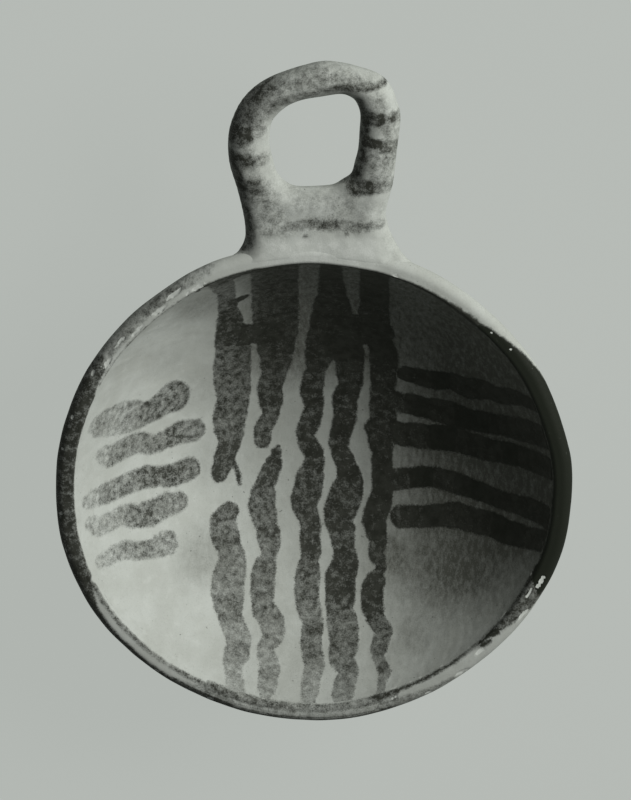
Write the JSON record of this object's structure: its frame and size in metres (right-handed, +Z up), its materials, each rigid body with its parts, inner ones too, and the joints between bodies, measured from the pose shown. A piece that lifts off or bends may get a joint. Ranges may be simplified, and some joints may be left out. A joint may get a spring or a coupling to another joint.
{
  "type": "loop-handled painted pottery bowl",
  "caption": "Shallow hand-built pottery bowl with a finger loop on a broad stem in the plane of its mouth, painted inside with dark dabbed strokes.",
  "frame": {"origin": "centre of the flat that the bowl stands on, on the axis of its mouth", "axes": "+Z up the axis of the mouth, +Y from the axis towards the finger loop, +X to the right of someone who looks into the bowl with the loop pointing away"},
  "size_m": [0.1501, 0.209, 0.0514],
  "materials": {
    "fired_clay": "matt fired clay with a thin pale wash, smoothed by hand",
    "pale_slip": "matt pale slip, wiped smooth, worn and pitted",
    "dark_paint": "matt dark mineral paint, worn through in places"
  },
  "bodies": {
    "root": {"base_pat": "fired_clay", "bowl_wall": "fired_clay", "rim_coil": "fired_clay", "slip_lining": "pale_slip", "handle_root": "fired_clay", "handle_web": "fired_clay", "handle_loop": "fired_clay", "middle_stroke_1": "dark_paint", "middle_stroke_2": "dark_paint", "middle_stroke_3": "dark_paint", "middle_stroke_4": "dark_paint", "middle_stroke_5": "dark_paint", "left_stroke_1": "dark_paint", "left_stroke_2": "dark_paint", "left_stroke_3": "dark_paint", "left_stroke_4": "dark_paint", "left_stroke_5": "dark_paint", "right_stroke_1": "dark_paint", "right_stroke_2": "dark_paint", "right_stroke_3": "dark_paint", "right_stroke_4": "dark_paint", "right_stroke_5": "dark_paint", "rim_stroke": "dark_paint", "arch_stroke": "dark_paint", "stem_stroke": "dark_paint", "left_leg_bands": "dark_paint", "right_leg_bands": "dark_paint"}
  },
  "joints": []
}
